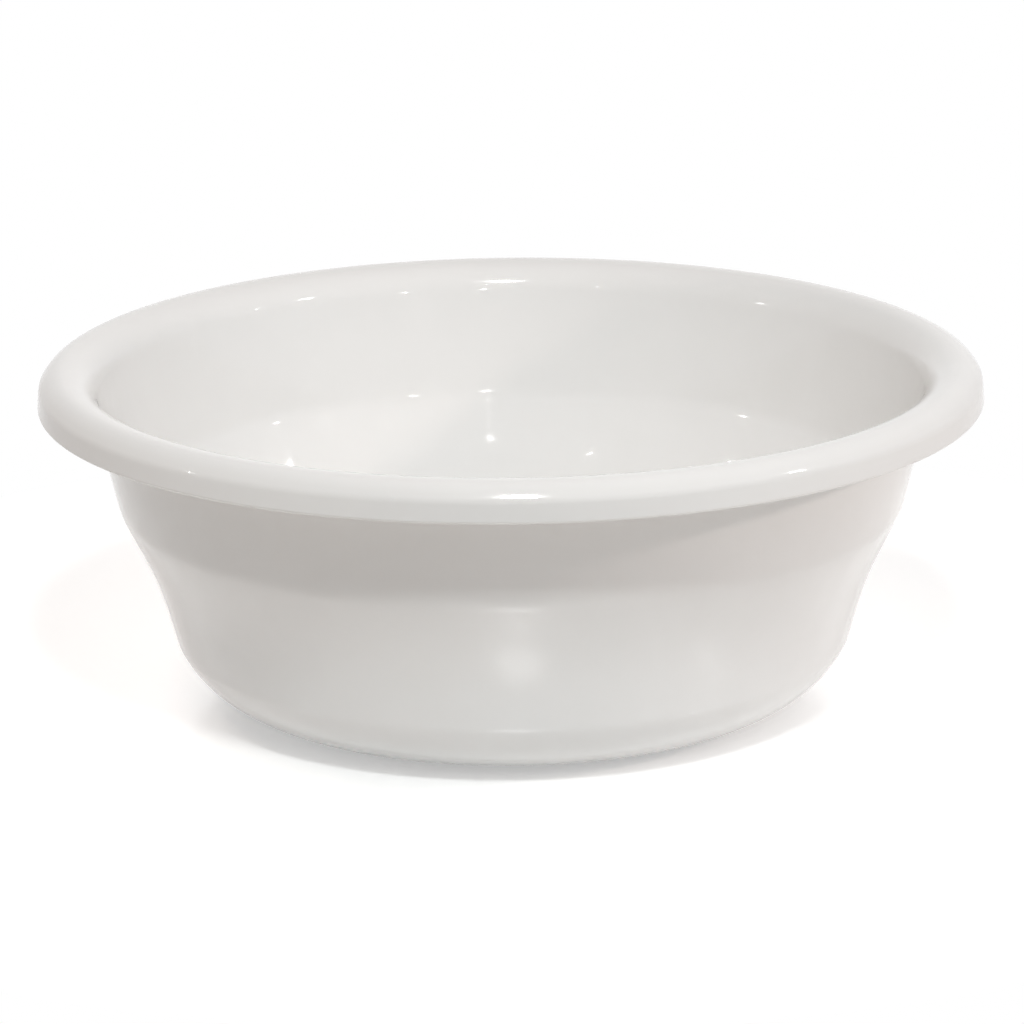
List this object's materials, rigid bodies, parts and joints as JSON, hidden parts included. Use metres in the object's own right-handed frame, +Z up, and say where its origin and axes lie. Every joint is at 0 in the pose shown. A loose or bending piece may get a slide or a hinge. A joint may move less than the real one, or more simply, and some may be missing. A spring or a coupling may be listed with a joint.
{
  "type": "plastic basin",
  "caption": "Round white plastic wash basin with a bell-shaped wall, a rolled rim open underneath and a low foot ring",
  "frame": {"origin": "centre of the table face that the basin stands on, under the middle of the floor", "axes": "+Z up along the axis of the basin, from the floor to the open mouth; X and Y are any two directions across the mouth"},
  "size_m": [0.33, 0.33, 0.12],
  "materials": {
    "white_plastic": "glossy"
  },
  "bodies": {
    "root": {"floor": "white_plastic", "foot_ring": "white_plastic", "heel": "white_plastic", "bell_wall": "white_plastic", "rim_roll": "white_plastic", "rim_skirt_right": "white_plastic", "rim_skirt_back": "white_plastic", "rim_skirt_left": "white_plastic", "rim_skirt_front": "white_plastic"}
  },
  "joints": []
}
